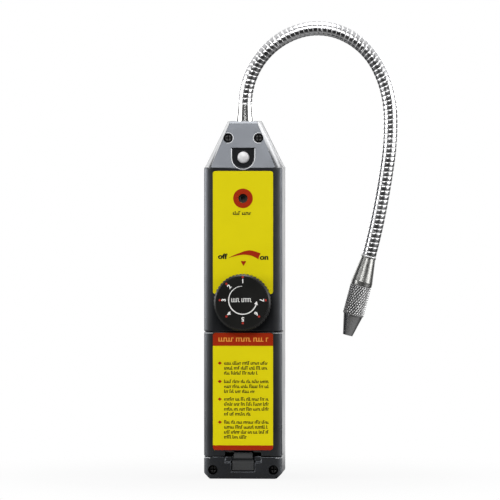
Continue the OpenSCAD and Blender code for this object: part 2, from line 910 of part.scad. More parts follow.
module nose_sleeve() {
    seat = cone_end + thread_len + fit;
    color(steel_colour) on_nose() rotate_extrude() polygon([
        [thread_r + fit, grip_z0], [grip_r - grip_chamfer, grip_z0], [grip_r, grip_z0 + grip_chamfer],
        [grip_r, grip_z1 - grip_chamfer], [grip_r - grip_chamfer, grip_z1], [tip_root_r, grip_z1],
        [tip_r, tip_z1], [inlet_r, tip_z1], [inlet_r, tip_z1 - tip_lip], [chamber_r, chamber_end],
        [chamber_r, seat], [thread_r + fit, seat]
    ]);
}

module sensor_insulator() {
    color([0.9, 0.88, 0.82]) on_nose() translate([0, 0, insulator_z0])
        linear_extrude(insulator_len) difference() {
            circle(insulator_r);
            circle(electrode_r + fit);
        }
}

module sensor_electrode() {
    color(steel_colour) on_nose() translate([0, 0, insulator_z0 - electrode_back])
        cylinder(r = electrode_r, h = electrode_tip);
}

front_shell();
rear_shell();
battery_door();
control_label();
instruction_label();
case_screws();
sensitivity_knob();
dial_disc();
control_shaft();
control_body();
indicator_lamp();
sounder();
circuit_board();
board_screws();
transformer_core();
transformer_coil();
capacitors();
logic_chips();
cell_left();
cell_right();
positive_contact();
negative_contact();
series_contact();
spring_left();
spring_right();
neck_ferrule();
neck_link(0);  // neck_link_1
neck_link(1);  // neck_link_2
neck_link(2);  // neck_link_3
neck_link(3);  // neck_link_4
neck_link(4);  // neck_link_5
neck_link(5);  // neck_link_6
neck_link(6);  // neck_link_7
neck_link(7);  // neck_link_8
nose_adapter();
nose_sleeve();
sensor_insulator();
sensor_electrode();
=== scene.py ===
"""Looks of a hand-held refrigerant leak detector with a gooseneck probe, in metres."""

import json
import math
import random

import bmesh
import bpy
from mathutils import Matrix, Vector


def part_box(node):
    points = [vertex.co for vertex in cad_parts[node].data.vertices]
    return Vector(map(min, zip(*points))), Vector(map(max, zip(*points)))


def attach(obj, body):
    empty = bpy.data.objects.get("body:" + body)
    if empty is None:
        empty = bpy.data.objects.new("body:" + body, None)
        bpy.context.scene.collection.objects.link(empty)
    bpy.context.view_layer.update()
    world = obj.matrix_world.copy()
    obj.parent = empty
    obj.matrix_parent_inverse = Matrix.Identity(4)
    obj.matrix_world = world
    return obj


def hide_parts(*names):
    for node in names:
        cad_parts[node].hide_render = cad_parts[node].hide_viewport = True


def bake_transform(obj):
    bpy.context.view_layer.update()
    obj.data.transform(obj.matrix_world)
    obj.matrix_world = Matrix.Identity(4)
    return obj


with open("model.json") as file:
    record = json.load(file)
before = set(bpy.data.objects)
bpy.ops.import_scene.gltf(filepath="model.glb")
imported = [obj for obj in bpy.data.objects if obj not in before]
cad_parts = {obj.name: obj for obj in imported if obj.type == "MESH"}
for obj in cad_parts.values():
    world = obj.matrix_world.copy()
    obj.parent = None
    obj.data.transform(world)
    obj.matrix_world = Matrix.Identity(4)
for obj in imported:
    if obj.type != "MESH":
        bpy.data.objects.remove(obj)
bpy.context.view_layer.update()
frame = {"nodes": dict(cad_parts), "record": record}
NODES = frame["nodes"]
BODY_OF = {node: body for body, nodes in frame["record"]["behaviour"]["bodies"].items() for node in nodes}
MM = 0.001

# Places taken from the frame
CASE_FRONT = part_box("battery_door")[0].y
CASE_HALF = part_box("front_shell")[1].x
HEAD_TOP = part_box("front_shell")[1].z
LABEL_LOW, LABEL_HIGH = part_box("control_label")
DOOR_LABEL_LOW, DOOR_LABEL_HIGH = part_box("instruction_label")
DIAL_LOW, DIAL_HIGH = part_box("dial_disc")
FERRULE_LOW, FERRULE_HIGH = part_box("neck_ferrule")
SOUNDER_LOW, SOUNDER_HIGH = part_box("sounder")
LAMP_LOW, LAMP_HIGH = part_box("indicator_lamp")
SCREW_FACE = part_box("case_screws")[0].y
NECK_Y = (FERRULE_LOW.y + FERRULE_HIGH.y) / 2
KNOB_Z = (DIAL_LOW.z + DIAL_HIGH.z) / 2
SOUNDER_Z = (SOUNDER_LOW.z + SOUNDER_HIGH.z) / 2
LAMP_Z = (LAMP_LOW.z + LAMP_HIGH.z) / 2

# The picture: about half a millimetre to a pixel on the front of the case
PICTURE = 500
PIXEL = 0.5 * MM
PIXEL_MIDDLE = 243
PIXEL_FOOT = 478
CAMERA_PIXEL = 0.4975 * MM
PICTURE_CENTRE = Vector((3.5 * MM, CASE_FRONT, 114 * MM))
CAMERA_AWAY = 3.0
CAMERA_TURN = math.radians(3)
CAMERA_RISE = math.radians(1.5)
SENSOR = 36.0

# The mouldings, as the solids have them: long curved edges, head, lamp's pocket, latch, door, cap and notch
EDGE_W = 4.5 * MM
EDGE_R = 7 * MM
SHOULDER_Z = LABEL_HIGH.z + 1.7 * MM
HEAD_RAKE = 5 / 23
POCKET_R = 5.6 * MM
POCKET_UP = 4.5 * MM
LATCH_HALF = 5.7 * MM
LATCH_TOP = 13.4 * MM
LATCH_DEEP = 3 * MM
DOOR_TOP = DOOR_LABEL_HIGH.z + 0.5 * MM
CAP_TOP = 11 * MM
NOTCH_HALF = 9.2 * MM
NOTCH_TOP = CAP_TOP + 3 * MM
LABEL_CORNER = 1.4 * MM
CORNER_STEPS = 6

# The front's screws: centres across and up, and where painted shade darkens them towards the rim, where the
# well shades them, and in the slots
HEAD_SCREW = (7.6 * MM, 169.7 * MM)
FOOT_SCREW = (15.1 * MM, 4.4 * MM)
SCREW_PLACES = [(side * x, z) for x, z in (HEAD_SCREW, FOOT_SCREW) for side in (-1, 1)]
SCREW_RIM_SHADE = (1.2 * MM, 1.7 * MM)
SCREW_SLOT_SHADE = (SCREW_FACE + 0.1 * MM, SCREW_FACE + 0.3 * MM)
WELL_R = 2.4 * MM

# Easing of the mouldings' edges: full widths, and which edges get none or less
FRONT_EASE = 0.45 * MM
REAR_EASE = 0.3 * MM
EASE_ANGLE = math.radians(28)
EASE_LEAST = 0.7 * MM
HEAD_EASE = 0.25
HEAD_EASE_ANGLE = math.radians(75)
POCKET_SLACK = 0.4 * MM
SHOULDER_SLACK = 0.3 * MM
OUTSIDE_DEEP = 6 * MM
OUTSIDE_SLACK = 0.5 * MM
SIDE_SLACK = 0.2 * MM
RAIL_SLACK = 0.03 * MM
RAIL_EDGE_SLACK = 0.01 * MM
RAIL_LEVEL = 0.05
RAIL_FACING = 0.9
WELD_REACH = 0.001 * MM
SAME_POINT = 0.0005 * MM
SAME_PLANE = math.radians(0.5)

# Painted highlight on the long front edges, paler towards their outer sides and towards the top: where it
# runs across, from the front back and up; its least share, and its mottle
SHEEN_ACROSS = (CASE_HALF - EDGE_W - 0.5 * MM, CASE_HALF - 2 * MM)
SHEEN_DEEP = (CASE_FRONT + 5 * MM, CASE_FRONT + 2.5 * MM)
SHEEN_UP = (15 * MM, 115 * MM)
SHEEN_LEAST = 0.2
SHEEN_MOTTLE = 5 * MM
SHEEN_FAINTEST = 0.75

# Trim in a pale plastic that paints highlights on edges: how far it stands off, and the rims round the
# lamp's pocket and part way round the screw wells
TRIM_PROUD = 0.07 * MM
RIM_GAP = 0.04 * MM
POCKET_RIM = 0.38 * MM
WELL_RIM = 0.28 * MM
WELL_RIM_HALF = 110
RIM_STEPS = 32

# Pale beads at the joints, which paint highlights on the joints' edges: how far they run onto the sides,
# where they start on the front, and their heights
RAIL_RETURN = 1.5 * MM
RAIL_STEPS = 10
DOOR_BEAD_START = 15 * MM
DOOR_BEAD = (DOOR_TOP - 0.8 * MM, DOOR_TOP - 0.4 * MM)
CAP_BEAD_START = 16.3 * MM
CAP_BEAD = (CAP_TOP - 0.75 * MM, CAP_TOP - 0.4 * MM)

# The gooseneck's line, as the solids have it, and its ribs
NECK_BENDS = [36, 36, 43, 38, 25, 10, 3, 4]
LINK_LEN = 24 * MM
NECK_LEN = LINK_LEN * len(NECK_BENDS)
NECK_START = Vector((0, NECK_Y, FERRULE_HIGH.z + 0.2 * MM))
NECK_R = 3.6 * MM
NECK_BORE_R = 2.1 * MM
NECK_SIDES = 40
NECK_BODIES = ["case", "neck_2", "neck_3", "neck_4", "neck_5", "neck_6", "neck_7", "nose"]
RIB_PITCH = 2.4 * MM
RIB_DEPTH = 0.14 * MM
RIB_FLAT = 0.4
RIB_CROWN = 0.04 * MM
RIB_ROWS = 16

# The bead round the cone's collar, measured along the nose
COLLAR_R = 3.8 * MM
BEAD_START = 0.3 * MM
BEAD_END = 1.1 * MM
BEAD_PROUD = 0.12 * MM
BEAD_ROWS = 6

# The knurled grip and the tip, measured along the nose
GRIP_START = 15.7 * MM
GRIP_END = 31.1 * MM
GRIP_R = 5.3 * MM
GRIP_CHAMFER = 0.4 * MM
GRIP_ROWS = 132
TIP_END = 41.5 * MM
TIP_ROOT_R = 4.9 * MM
TIP_R = 2.45 * MM
TIP_LIP = 1.8 * MM
TIP_ROWS = 12
INLET_R = 1.6 * MM
CHAMBER_R = 3.9 * MM
CHAMBER_END = GRIP_END + 1.5 * MM
THREAD_R = 4.25 * MM
THREAD_END = 20.65 * MM
NOSE_STEP = 0.01 * MM
NOSE_SHARP = math.radians(40)
KNURL_STARTS = 24
KNURL_SIDES = 10 * KNURL_STARTS
KNURL_SLOPE = math.tan(math.radians(31))
KNURL_DEPTHS = (0.2 * MM, 0.42 * MM)
KNURL_FLAT = 0.34
# Below this radius the knurl's grooves get painted shade
KNURL_SHADE_BELOW = GRIP_R - 0.55 * max(KNURL_DEPTHS)

# Printing: how far it stands off, and the strokes that stand for small print
INK = 0.04 * MM
WORD_STROKES = (3, 7)
WORD_GAP = 1.6
BAR_SHARE = 0.8
BAR_LOW_SHARE = 0.5
PRINT_HEIGHTS = (0.62, 0.7, 0.7, 1.0)
EVEN_HEIGHTS = (1.0,)

# Printing on the upper label, with places in pixels
SOUNDER_RING = (2.3 * MM, 4.88 * MM)
SOUNDER_RING_STEPS = 64
SWEEP_TOP = [(228.8, 257.6), (238.1, 253.5), (249.4, 250.3), (260.6, 253.2)]
SWEEP_TAIL = [(259.3, 255.8)]
SWEEP_LOW = [(258.4, 259.2), (252.0, 255.9), (245.7, 254.8), (238.4, 255.4), (228.8, 257.9)]
POINTER = [(240.8, 261.3), (242.0, 260.8), (243.5, 261.2), (245.0, 260.8), (246.2, 261.3), (243.5, 266.0)]
MARKS = (("off_mark", "off", 222.5, 256.6), ("on_mark", "on", 264.1, 257.4))
MARK_HEIGHT = 3.5 * MM
MARK_SQUEEZE = 1.18
MARK_WEIGHT = 0.045

# Printing on the lower label, in pixels; a group is its first line, count of lines and end of the last
HEADER_FOOT = 345.5
FOOTER_TOP = 444.6
LINE_GROUPS = [(362.7, 3, 258.0), (381.0, 3, 255.0), (398.6, 4, 250.0), (421.5, 4, 246.5)]
LINE_GAP = 4.95
LINE_LEFT = 224.2
LINE_RIGHT = 268.2
LINE_DROP = 1.5
LINE_HEIGHT = 1.75 * MM
LINE_STROKE = 0.36 * MM
BULLET_X = 219.9
BULLET_HALF = 1.05 * MM
BULLET_UP = 0.85 * MM

# Printing on the dial, about a centre a little off the knob's own
DIAL_UP = 1.3 * MM
DIAL_RIGHT = 0.3 * MM
DIAL_NUMBERS = 7
DIAL_STEP = 45
NUMBER_R = 9.4 * MM
NUMBER_HEIGHT = 2.9 * MM
NUMBER_SQUEEZE = 1.0
NUMBER_WEIGHT = 0.035
DOT_AT = 11.45 * MM
DOT_R = 0.55 * MM
DOT_SIDES = 12
ARROW_R = 7 * MM
ARROW_HALF = 0.26 * MM
ARROW_THIN = 0.4
ARROW_GROWTH = 1.6
ARROW_FROM = 92
ARROW_TO = 343
ARROW_STEPS = 72
ARROW_TIP = (6.98 * MM, ARROW_TO + 13)
ARROW_WINGS = ((5.95 * MM, ARROW_TO - 1), (7.95 * MM, ARROW_TO - 1))


# Node helpers

# The middle range of a noise
NOISE_RANGE = (0.3, 0.7)

# Sockets of a Mix node by kind: share, first, second and result
MIX_SOCKETS = {"RGBA": (0, 6, 7, 2), "FLOAT": (0, 2, 3, 0)}


def add_node(tree, kind, **settings):
    node = tree.nodes.new("ShaderNode" + kind)
    for name, value in settings.items():
        setattr(node, name, value)
    return node


def feed(sockets, sources):
    """Links or sets each socket, by whether its source is a socket or a constant."""
    for socket, source in zip(sockets, sources):
        if isinstance(source, bpy.types.NodeSocket):
            socket.id_data.links.new(source, socket)
        else:
            socket.default_value = source


def set_inputs(node, **sources):
    """Feeds a node's sockets by name."""
    feed([node.inputs[name.replace("_", " ")] for name in sources], sources.values())
    return node


def maths(tree, operation, *sources):
    node = add_node(tree, "Math", operation=operation)
    feed(node.inputs, sources)
    return node.outputs[0]


def vectors(tree, operation, *sources, result="Vector"):
    node = add_node(tree, "VectorMath", operation=operation)
    feed(node.inputs, sources)
    return node.outputs[result]


def mixed(tree, kind, *sources):
    """A value between two, by a share."""
    node = add_node(tree, "Mix", data_type=kind)
    *places, result = MIX_SOCKETS[kind]
    feed([node.inputs[place] for place in places], sources)
    return node.outputs[result]


def mixed_shaders(tree, *sources):
    node = add_node(tree, "MixShader")
    feed(node.inputs, sources)
    return node.outputs[0]


def ranged(tree, source, reach, levels):
    """Maps one range to another, and stays inside it."""
    node = set_inputs(add_node(tree, "MapRange"), Value=source, From_Min=reach[0], From_Max=reach[1],
                      To_Min=levels[0], To_Max=levels[1])
    return node.outputs["Result"]


def spread(tree, source, low, high):
    """Maps the middle of a noise to a range."""
    return ranged(tree, source, NOISE_RANGE, (low, high))


def place_parts(tree, kind="Object"):
    """The three parts of a point's place, or in the world of a direction."""
    place = add_node(tree, "TexCoord").outputs[kind]
    return set_inputs(add_node(tree, "SeparateXYZ"), Vector=place).outputs


def object_place(tree, turn=(0, 0, 0), stretch=(1, 1, 1)):
    """A point's place on its object, in axes turned and then stretched."""
    place = add_node(tree, "TexCoord").outputs["Object"]
    mapping = add_node(tree, "Mapping", vector_type="TEXTURE")
    return set_inputs(mapping, Vector=place, Rotation=turn, Scale=stretch).outputs["Vector"]


def noise(tree, size, place, detail=4.0):
    node = set_inputs(add_node(tree, "TexNoise"), Vector=place, Scale=1 / size, Detail=detail)
    return node.outputs["Fac"]


def between(tree, source, dark, light):
    """A colour between two, by a noise."""
    ramp = add_node(tree, "ValToRGB")
    for stop, position, colour in zip(ramp.color_ramp.elements, NOISE_RANGE, (dark, light)):
        stop.position = position
        stop.color = (*colour, 1)
    return set_inputs(ramp, Fac=source).outputs["Color"]


def bump(tree, shader, source, depth):
    node = set_inputs(add_node(tree, "Bump"), Height=source, Strength=1.0, Distance=depth)
    set_inputs(shader, Normal=node.outputs["Normal"])


# Materials

# Broad changes of finish, their sizes and shares, and how far metal's lines are drawn out
HANDLING = 18 * MM
HANDLING_GLOSS = (0.88, 1.14)
TARNISH = 9 * MM
TARNISH_SHADE = (0.9, 1.06)
TARNISH_GLOSS = (0.8, 1.25)
LINE_STRETCH = (50, 50, 1)


def new_material(name, **sockets):
    material = bpy.data.materials.new(name)
    material.use_nodes = True
    shader = set_inputs(material.node_tree.nodes["Principled BSDF"], **sockets)
    return material, material.node_tree, shader


def linear(red, green, blue):
    """A colour as seen, 0 to 255, as linear light."""
    def one(value):
        share = value / 255
        return share / 12.92 if share <= 0.04045 else ((share + 0.055) / 1.055) ** 2.4
    return one(red), one(green), one(blue)


def shade(colour, factor):
    return tuple(min(1.0, part * factor) for part in colour)


def plastic(name, colour, rough, grain=0.35 * MM, grain_depth=0.02 * MM, vary=0.15, **sockets):
    """Moulded plastic: spark-eroded grain, and a broad change of gloss from handling."""
    material, tree, shader = new_material(name, **sockets)
    place = object_place(tree)
    broad = noise(tree, HANDLING, place, detail=5)
    fine = noise(tree, grain, place, detail=3)
    set_inputs(shader, Base_Color=between(tree, broad, shade(colour, 1 - vary), shade(colour, 1 + vary)),
               Roughness=spread(tree, broad, *(rough * share for share in HANDLING_GLOSS)))
    bump(tree, shader, fine, grain_depth)
    return material


def metal(name, colour, rough, line=0.12 * MM, line_depth=0.006 * MM, turn=(0, 0, 0)):
    """Turned or drawn metal: fine lines across the tool's travel and a slight tarnish."""
    material, tree, shader = new_material(name, Metallic=1.0)
    broad = noise(tree, TARNISH, object_place(tree), detail=4)
    lines = noise(tree, line, object_place(tree, turn, LINE_STRETCH), detail=2)
    set_inputs(shader, Base_Color=between(tree, broad, *(shade(colour, share) for share in TARNISH_SHADE)),
               Roughness=spread(tree, broad, *(rough * share for share in TARNISH_GLOSS)))
    bump(tree, shader, lines, line_depth)
    return material


def film(name, colour):
    """Printed vinyl film: even ink with a faint mottle and a slight orange peel."""
    return plastic(name, colour, rough=0.5, grain=1.1 * MM, grain_depth=0.006 * MM, vary=0.03,
                   Specular_IOR_Level=0.08)


def paint_rail_sheen(material, sheen_colour):
    """Paints a highlight on the long front edges of the case, paler towards their outer sides and towards
    the top.
    """
    tree = material.node_tree
    colour = tree.nodes["Principled BSDF"].inputs["Base Color"]
    plain = colour.links[0].from_socket
    parts = place_parts(tree)
    across = maths(tree, "ABSOLUTE", parts["X"])
    share = spread(tree, noise(tree, SHEEN_MOTTLE, object_place(tree)), SHEEN_FAINTEST, 1.0)
    bands = [(across, SHEEN_ACROSS, 0), (parts["Y"], SHEEN_DEEP, 0), (parts["Z"], SHEEN_UP, SHEEN_LEAST)]
    for source, reach, least in bands:
        share = maths(tree, "MULTIPLY", share, ranged(tree, source, reach, (least, 1)))
    tree.links.new(mixed(tree, "RGBA", share, plain, (*sheen_colour, 1)), colour)


def screws_painted_shade():
    """Dark grey screw heads, with painted shade towards their rims, where the wells shade them, and in
    their slots.
    """
    material, tree, shader = new_material("screws_painted_shade", Metallic=1.0, Roughness=0.5)
    place = add_node(tree, "TexCoord").outputs["Object"]
    flat = vectors(tree, "MULTIPLY", place, (1, 0, 1))
    away = [vectors(tree, "DISTANCE", flat, (x, 0, z), result="Value") for x, z in SCREW_PLACES]
    nearest = away[0]
    for other in away[1:]:
        nearest = maths(tree, "MINIMUM", nearest, other)
    # Painted shade: darkest towards the rims, where the wells shade the heads, and down in the slots
    rim = ranged(tree, nearest, SCREW_RIM_SHADE, NOISE_RANGE)
    slot = ranged(tree, place_parts(tree)["Y"], SCREW_SLOT_SHADE, NOISE_RANGE)
    dark = maths(tree, "MAXIMUM", rim, slot)
    head_grey = (0.1, 0.1, 0.1)
    shade_black = (0.004, 0.004, 0.004)
    set_inputs(shader, Base_Color=between(tree, dark, head_grey, shade_black))
    bump(tree, shader, noise(tree, size=0.3 * MM, place=object_place(tree)), depth=0.02 * MM)
    return material


def cell_wrap():
    """A shrink-wrapped cell: a copper-coloured band at the button's end of a dark sleeve."""
    material, tree, shader = new_material("cell_wrap", Roughness=0.3)
    ramp = add_node(tree, "ValToRGB")
    ramp.color_ramp.interpolation = "CONSTANT"
    sleeve, band = ramp.color_ramp.elements
    sleeve.color = (0.012, 0.012, 0.014, 1)
    band.position = 0.68
    band.color = (0.5, 0.2, 0.05, 1)
    set_inputs(ramp, Fac=place_parts(tree, "Generated")["Z"])
    set_inputs(shader, Base_Color=ramp.outputs["Color"])
    bump(tree, shader, noise(tree, size=0.8 * MM, place=object_place(tree)), depth=0.01 * MM)
    return material


NOSE_TURN = (0, math.radians(sum(NECK_BENDS)), 0)

shell_plastic = plastic("shell_plastic", (0.0042, 0.0043, 0.0046), 0.3, grain_depth=0.005 * MM,
                        Specular_IOR_Level=0.62, Specular_Tint=(0.86, 0.91, 1.0, 1))
# Painted highlight on the long front edges of the case
paint_rail_sheen(shell_plastic, (0.045, 0.046, 0.048))
# A pale plastic for thin trim and beads that paint highlights on edges
highlight_plastic = plastic("highlight_plastic", (0.62, 0.63, 0.65), 0.4, grain=0.2 * MM, grain_depth=0.004 * MM)
# A paler, rougher copy of the shell's plastic for the latch: the paler colour is a painted highlight, for
# the light the latch catches where it faces up
latch_lit_plastic = plastic("latch_lit_plastic", (0.024, 0.025, 0.026), 0.6, Specular_IOR_Level=0.3)
knob_plastic = plastic("knob_plastic", (0.007, 0.007, 0.0066), 0.4, grain_depth=0.008 * MM,
                       Specular_IOR_Level=0.3)
dial_print = plastic("dial_print", (0.0078, 0.0078, 0.0072), 0.3, grain=0.2 * MM, grain_depth=0.004 * MM,
                     Specular_IOR_Level=0.25)
yellow_film = film("yellow_film", linear(215, 201, 7))
red_ink = film("red_ink", linear(153, 38, 6))
black_ink = film("black_ink", (0.006, 0.006, 0.006))
white_ink = film("white_ink", (0.78, 0.78, 0.76))
dot_ink = film("dot_ink", linear(172, 52, 44))
header_ink = film("header_ink", linear(222, 146, 60))
chrome = metal("chrome", (0.56, 0.56, 0.57), 0.2, line_depth=0.0008 * MM)
satin_steel = metal("satin_steel", (0.65, 0.65, 0.65), 0.5, line_depth=0.002 * MM)
ferrule_chrome = metal("ferrule_chrome", (0.6, 0.6, 0.59), 0.13, line_depth=0.0001 * MM)
turned_steel = metal("turned_steel", (0.25, 0.25, 0.24), 0.3, turn=NOSE_TURN)
knurled_steel = metal("knurled_steel", (0.38, 0.38, 0.38), 0.42, turn=NOSE_TURN)
# Painted shade for the knurl's grooves
knurl_groove_shade = metal("knurl_groove_shade", (0.05, 0.05, 0.05), 0.4, turn=NOSE_TURN)
tip_steel = metal("tip_steel", (0.38, 0.38, 0.38), 0.22, turn=NOSE_TURN)
bright_steel = metal("bright_steel", (0.72, 0.71, 0.68), 0.22)
# Nickel-plated contacts, darkened with painted shade: inside the case they show through the notch, in shade
contact_nickel_shaded = metal("contact_nickel_shaded", (0.2, 0.195, 0.18), 0.38)
copper_wire = metal("copper_wire", (0.72, 0.33, 0.16), 0.28, line=0.3 * MM, line_depth=0.05 * MM)
lamp_lens = plastic("lamp_lens", (0.64, 0.64, 0.65), 0.3, grain=0.5 * MM, grain_depth=0.01 * MM, vary=0.06)
board_green = plastic("board_green", (0.012, 0.09, 0.035), 0.34, grain=0.6 * MM)
ferrite = plastic("ferrite", (0.03, 0.03, 0.033), 0.5, grain=0.25 * MM)
can_sleeve = plastic("can_sleeve", (0.018, 0.03, 0.12), 0.33)
chip_black = plastic("chip_black", (0.014, 0.014, 0.015), 0.52)
control_brown = plastic("control_brown", (0.16, 0.09, 0.035), 0.4)
sounder_black = plastic("sounder_black", (0.012, 0.012, 0.012), 0.45)
ceramic = plastic("ceramic", (0.72, 0.69, 0.6), 0.42, grain=0.15 * MM)


# Mesh helpers

def paint(obj, material):
    obj.data.materials.clear()
    obj.data.materials.append(material)


def link_object(name, data):
    obj = bpy.data.objects.new(name, data)
    bpy.context.scene.collection.objects.link(obj)
    return obj


def new_object(name, mesh, material, smooth=False):
    obj = link_object(name, mesh)
    paint(obj, material)
    mesh.polygons.foreach_set("use_smooth", [smooth] * len(mesh.polygons))
    return obj


def shown_mesh(obj):
    """An object's mesh as it shows, with its modifiers or its extrusion."""
    return bpy.data.meshes.new_from_object(obj.evaluated_get(bpy.context.evaluated_depsgraph_get()))


def mesh_from(name, points, faces):
    mesh = bpy.data.meshes.new(name)
    mesh.from_pydata(points, [], faces)
    mesh.validate()
    mesh.update()
    return mesh


def solid_from(name, points, faces):
    """A closed mesh with its faces turned outwards, and split where they have more than four sides."""
    mesh = mesh_from(name, points, faces)
    shape = bmesh.new()
    shape.from_mesh(mesh)
    bmesh.ops.recalc_face_normals(shape, faces=shape.faces)
    bmesh.ops.triangulate(shape, faces=[face for face in shape.faces if len(face.verts) > 4])
    shape.to_mesh(mesh)
    shape.free()
    return mesh


def weld(obj):
    """Joins steps that touch, and takes out the walls between them."""
    shape = bmesh.new()
    shape.from_mesh(obj.data)
    bmesh.ops.remove_doubles(shape, verts=shape.verts, dist=WELD_REACH)
    inner = [face for face in shape.faces if any(
        other is not face and set(other.verts) == set(face.verts)
        for vert in face.verts for other in vert.link_faces)]
    bmesh.ops.delete(shape, geom=inner, context="FACES")
    bmesh.ops.recalc_face_normals(shape, faces=shape.faces)
    shape.to_mesh(obj.data)
    shape.free()


def plate(name, outlines, place, thickness, material, body):
    """Flat outlines of (across, up) points at a place, raised towards the viewer into thin solids."""
    points = []
    faces = []
    for outline in outlines:
        first = len(points)
        count = len(outline)
        for depth in (0, -thickness):
            for across, up in outline:
                points.append(place @ Vector((across, depth, up)))
        faces.append(tuple(range(first, first + count)))
        faces.append(tuple(reversed(range(first + count, first + 2 * count))))
        for i in range(count):
            j = (i + 1) % count
            faces.append((first + i, first + count + i, first + count + j, first + j))
    obj = new_object(name, solid_from(name, points, faces), material)
    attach(obj, body)
    return obj


def lettering(name, text, height, squeeze, weight, place, material, body):
    """Plain characters raised from the surface, centred on their place and facing -Y."""
    curve = bpy.data.curves.new(name, "FONT")
    curve.body = text
    curve.align_x = "CENTER"
    curve.align_y = "CENTER"
    curve.size = 1.0
    curve.offset = weight
    curve.extrude = 0.5
    curve.resolution_u = 6
    maker = link_object(name + "_maker", curve)
    mesh = shown_mesh(maker)
    bpy.data.objects.remove(maker)
    stand = Matrix(((1, 0, 0, 0), (0, 0, -1, 0), (0, 1, 0, 0), (0, 0, 0, 1)))
    grow = Matrix.Diagonal((height * squeeze, INK, height, 1))
    mesh.transform(place @ grow @ stand)
    obj = new_object(name, mesh, material)
    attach(obj, body)


def polar(radius, degrees, centre=(0, 0)):
    """A point on a circle, with its angle from the right."""
    angle = math.radians(degrees)
    return centre[0] + radius * math.cos(angle), centre[1] + radius * math.sin(angle)


def circle_points(radius, start, end, count, centre=(0, 0)):
    return [polar(radius, start + (end - start) * i / count, centre) for i in range(count + 1)]


def strip_quads(inside, outside):
    """Four-sided steps between two lines of as many points."""
    count = len(inside) - 1
    return [[inside[i], inside[i + 1], outside[i + 1], outside[i]] for i in range(count)]


def box_outline(x0, x1, z0, z1):
    return [(x0, z0), (x1, z0), (x1, z1), (x0, z1)]


def cubic(a, b, c, d, t):
    """A value on a smooth curve from b to c, with a before them and d after."""
    square = 2 * a - 5 * b + 4 * c - d
    cube = 3 * b - a - 3 * c + d
    return 0.5 * (2 * b + (c - a) * t + square * t * t + cube * t ** 3)


def curve_through(points, steps=8):
    """Points on a smooth curve through the given ones."""
    curve = []
    ends = [points[0]] + points + [points[-1]]
    for i in range(1, len(ends) - 2):
        for step in range(steps):
            curve.append(tuple(cubic(*parts, step / steps) for parts in zip(*ends[i - 1:i + 3])))
    return curve + [points[-1]]


# Mouldings

def on_outside(line):
    """Whether an edge is on the case's outer faces, where it shows."""
    middle = (line.verts[0].co + line.verts[1].co) / 2
    at_front = middle.y < CASE_FRONT + OUTSIDE_DEEP
    at_back = middle.y > -CASE_FRONT - OUTSIDE_SLACK
    at_side = abs(middle.x) > CASE_HALF - SIDE_SLACK
    at_end = middle.z < OUTSIDE_SLACK or middle.z > HEAD_TOP - OUTSIDE_SLACK
    return at_front or at_back or at_side or at_end


def ease_of(line):
    """How much an edge of a moulding is eased; those round a label's pocket or inside stay sharp."""
    low = Vector(min(vert.co[i] for vert in line.verts) for i in range(3))
    high = Vector(max(vert.co[i] for vert in line.verts) for i in range(3))
    shallow = high.y < CASE_FRONT + POCKET_SLACK
    for label_low, label_high in ((LABEL_LOW, LABEL_HIGH), (DOOR_LABEL_LOW, DOOR_LABEL_HIGH)):
        beside = low.x > label_low.x - POCKET_SLACK and high.x < label_high.x + POCKET_SLACK
        along = low.z > label_low.z - POCKET_SLACK and high.z < label_high.z + POCKET_SLACK
        if shallow and beside and along:
            return 0.0
    in_notch = low.x > -NOTCH_HALF and high.x < NOTCH_HALF and low.z > NOTCH_TOP - POCKET_SLACK
    if in_notch and high.z < NOTCH_TOP + POCKET_SLACK:
        return 0.0
    if line.calc_length() < EASE_LEAST or not on_outside(line):
        return 0.0
    if low.z > SHOULDER_Z - SHOULDER_SLACK and line.calc_face_angle() < HEAD_EASE_ANGLE:
        return HEAD_EASE
    return 1.0


def rail_normal(point):
    """The way a point on one of the long curved edges faces, or nothing for a point elsewhere."""
    across = abs(point.x) - (CASE_HALF - EDGE_W)
    deep = abs(point.y) - (-CASE_FRONT - EDGE_R)
    away = math.hypot(across, deep)
    if across < -RAIL_EDGE_SLACK or deep < 0 or abs(away - EDGE_R) > RAIL_SLACK:
        return None
    return Vector((math.copysign(max(across, 0), point.x), math.copysign(deep, point.y), 0)).normalized()


def round_rails(mesh):
    """Lets the long curved edges shade as true arcs."""
    normals = [corner.vector.copy() for corner in mesh.corner_normals]
    for face in mesh.polygons:
        ways = [rail_normal(mesh.vertices[vert].co) for vert in face.vertices]
        upright = abs(face.normal.z) < RAIL_LEVEL
        if upright and all(ways) and all(face.normal.dot(way) > RAIL_FACING for way in ways):
            for corner, way in zip(face.loop_indices, ways):
                normals[corner] = way
    mesh.normals_split_custom_set(normals)


